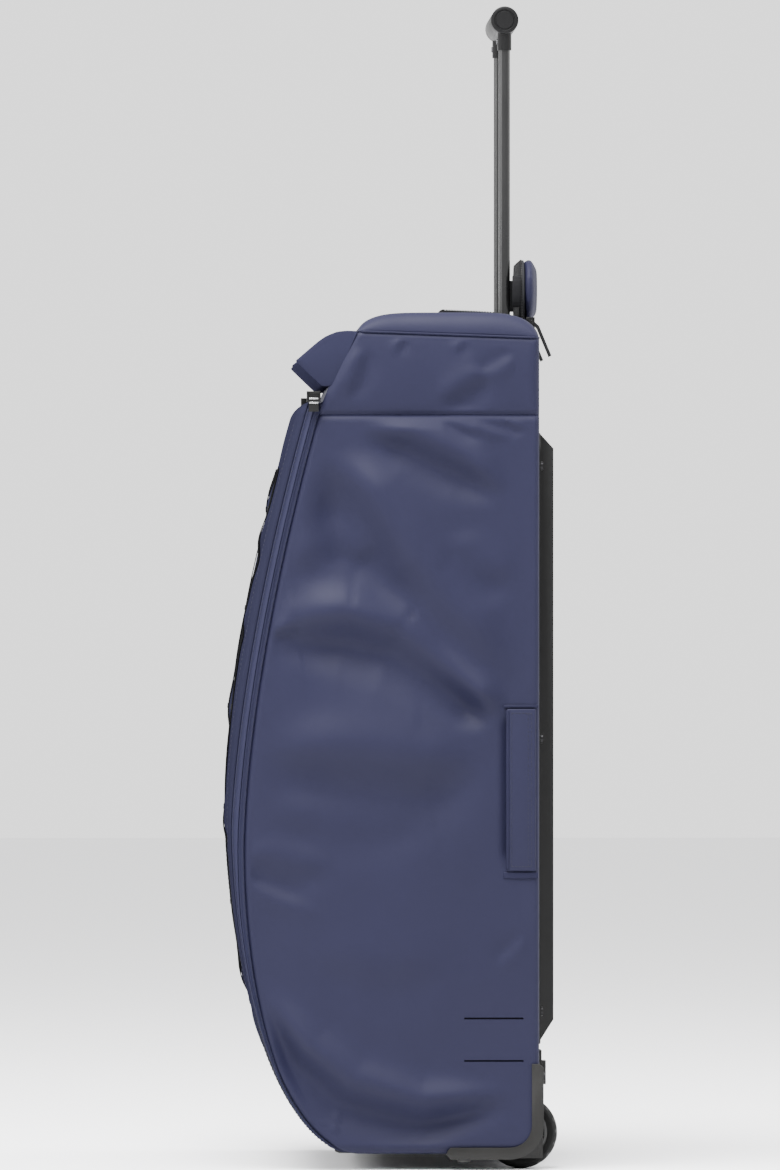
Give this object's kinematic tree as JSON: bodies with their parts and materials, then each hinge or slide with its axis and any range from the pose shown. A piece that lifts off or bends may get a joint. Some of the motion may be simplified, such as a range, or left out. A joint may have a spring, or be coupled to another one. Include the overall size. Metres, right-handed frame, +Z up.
{
  "type": "rolling duffel bag",
  "caption": "Upright soft rolling duffel bag with bulged zip-open front, hood, hard back, corner wheels and telescopic push-button handle",
  "frame": {"origin": "on the floor, under the centre of the overall box", "axes": "+Z up along the handle, -Y towards the zip-open front, +Y towards the wheels and hard back, X across the width"},
  "size_m": [0.416, 0.3136, 1.0913],
  "materials": {
    "padded_fabric": "smooth coated woven shell, satin, soft creases",
    "zip_tape": "tightly woven zip tape with a coated face",
    "strap": "coated fabric strap, folded and stitched",
    "webbing": "narrow woven webbing",
    "lining": "fine woven black lining",
    "garage_trim": "matt moulded trim",
    "zip_metal": "black painted die casting with worn bright edges",
    "zip_plastic": "moulded pull, matt black",
    "hard_shell": "fine textured near-black moulded shell",
    "guard_plastic": "warm dark grey moulded plastic, soft satin",
    "stud_rubber": "matt rubber",
    "fastener_steel": "zinc plated steel",
    "bearing_steel": "ground steel",
    "outer_aluminium": "drawn aluminium tube",
    "tube_black": "black anodised aluminium tube, satin",
    "handle_plastic": "moulded black plastic, satin",
    "cap_plastic": "moulded dark grey end cap",
    "button_plastic": "moulded dark grey plastic, satin",
    "hub_plastic": "moulded black spoked hub",
    "tyre": "matt black polyurethane tread"
  },
  "bodies": {
    "bag": {"side_panel_left": "padded_fabric", "side_panel_right": "padded_fabric", "hood_side_left": "padded_fabric", "hood_side_right": "padded_fabric", "back_panel": "padded_fabric", "bottom_panel": "padded_fabric", "hood_front": "padded_fabric", "hood_top": "padded_fabric", "visor": "padded_fabric", "zip_tape_body": "zip_tape", "garage_tray": "lining", "garage_lip": "garage_trim", "garage_sliders": "zip_plastic", "back_shell": "hard_shell", "shell_screws": "fastener_steel", "trolley_cover": "hard_shell", "base_board": "hard_shell", "base_bracket": "hard_shell", "corner_guard_left": "guard_plastic", "corner_guard_right": "guard_plastic", "guard_screws": "fastener_steel", "guard_studs": "stud_rubber", "axles": "fastener_steel", "axle_spacers": "fastener_steel", "front_skid": "hard_shell", "outer_tube_left": "outer_aluminium", "outer_tube_right": "outer_aluminium", "tube_collars": "handle_plastic", "grab_tabs": "strap"},
    "trolley": {"inner_tube_left": "tube_black", "inner_tube_right": "tube_black", "grip_upper": "handle_plastic", "grip_lower": "handle_plastic", "grip_caps": "cap_plastic", "grip_screws": "fastener_steel", "lock_blocks": "handle_plastic", "rod_springs": "fastener_steel"},
    "release_button": {"release_button": "button_plastic"},
    "lock_pin_left": {"lock_pin_left": "fastener_steel"},
    "lock_pin_right": {"lock_pin_right": "fastener_steel"},
    "wheel_left": {"wheel_hub_left": "hub_plastic", "tyre_left": "tyre", "bearings_left": "bearing_steel"},
    "wheel_right": {"wheel_hub_right": "hub_plastic", "tyre_right": "tyre", "bearings_right": "bearing_steel"},
    "front_lid": {"front_lid": "padded_fabric", "zip_tape_lid": "zip_tape", "zip_sliders": "zip_metal", "front_webbing": "webbing"},
    "zip_pull_left": {"zip_pull_left": "zip_plastic"},
    "zip_pull_right": {"zip_pull_right": "zip_plastic"},
    "garage_flap": {"flap_cover": "padded_fabric", "flap_zip": "zip_tape", "flap_lining": "lining"},
    "garage_pull_left": {"garage_pull_left": "zip_plastic"},
    "garage_pull_right": {"garage_pull_right": "zip_plastic"},
    "side_handle_left": {"grab_handle_left": "strap"},
    "side_handle_right": {"grab_handle_right": "strap"}
  },
  "joints": [
    {"name": "trolley_slide", "type": "slide", "parent": "bag", "child": "trolley", "axis": [0, 0, 1], "range_m": [-0.29, 0]},
    {"name": "release_button_press", "type": "slide", "parent": "trolley", "child": "release_button", "axis": [0, 0, -1], "range_m": [0, 0.004], "stiffness_N_per_m": 600, "springref_m": -0.002, "deforming": ["rod_springs"]},
    {"name": "lock_pin_right_slide", "type": "slide", "parent": "trolley", "child": "lock_pin_right", "axis": [-1, 0, 0], "range_m": [0, 0.004]},
    {"name": "lock_pin_left_slide", "type": "slide", "parent": "trolley", "child": "lock_pin_left", "axis": [1, 0, 0], "range_m": [0, 0.004]},
    {"name": "wheel_right_spin", "type": "hinge", "parent": "bag", "child": "wheel_right", "pos_m": [0.158, 0.12285, 0.034], "axis": [1, 0, 0], "continuous": true},
    {"name": "wheel_left_spin", "type": "hinge", "parent": "bag", "child": "wheel_left", "pos_m": [-0.158, 0.12285, 0.034], "axis": [1, 0, 0], "continuous": true},
    {"name": "front_lid_open", "type": "hinge", "parent": "bag", "child": "front_lid", "pos_m": [0, -0.05915, 0.0235], "axis": [1, 0, 0], "range_deg": [0, 66]},
    {"name": "zip_pull_right_swing", "type": "hinge", "parent": "front_lid", "child": "zip_pull_right", "pos_m": [0.206, -0.07165, 0.723], "axis": [0, -1, 0], "range_deg": [0, 100]},
    {"name": "zip_pull_left_swing", "type": "hinge", "parent": "front_lid", "child": "zip_pull_left", "pos_m": [-0.206, -0.07165, 0.723], "axis": [0, 1, 0], "range_deg": [0, 100]},
    {"name": "garage_flap_fold", "type": "hinge", "parent": "bag", "child": "garage_flap", "pos_m": [0, 0.13685, 0.7928], "axis": [-1, 0, 0], "range_deg": [0, 90]},
    {"name": "garage_pull_right_swing", "type": "hinge", "parent": "bag", "child": "garage_pull_right", "pos_m": [0.112, 0.13485, 0.7935], "axis": [1, 0, 0], "range_deg": [0, 90]},
    {"name": "garage_pull_left_swing", "type": "hinge", "parent": "bag", "child": "garage_pull_left", "pos_m": [-0.112, 0.13485, 0.7935], "axis": [1, 0, 0], "range_deg": [0, 90]},
    {"name": "side_handle_right_lift", "type": "hinge", "parent": "bag", "child": "side_handle_right", "pos_m": [0.2018, 0.13535, 0.3545], "axis": [0, 0, 1], "range_deg": [0, 40]},
    {"name": "side_handle_left_lift", "type": "hinge", "parent": "bag", "child": "side_handle_left", "pos_m": [-0.2018, 0.13535, 0.3545], "axis": [0, 0, -1], "range_deg": [0, 40]}
  ],
  "couplings": [
    {"joint": "lock_pin_right_slide", "follows": "release_button_press", "ratio": 1},
    {"joint": "lock_pin_left_slide", "follows": "release_button_press", "ratio": 1}
  ]
}
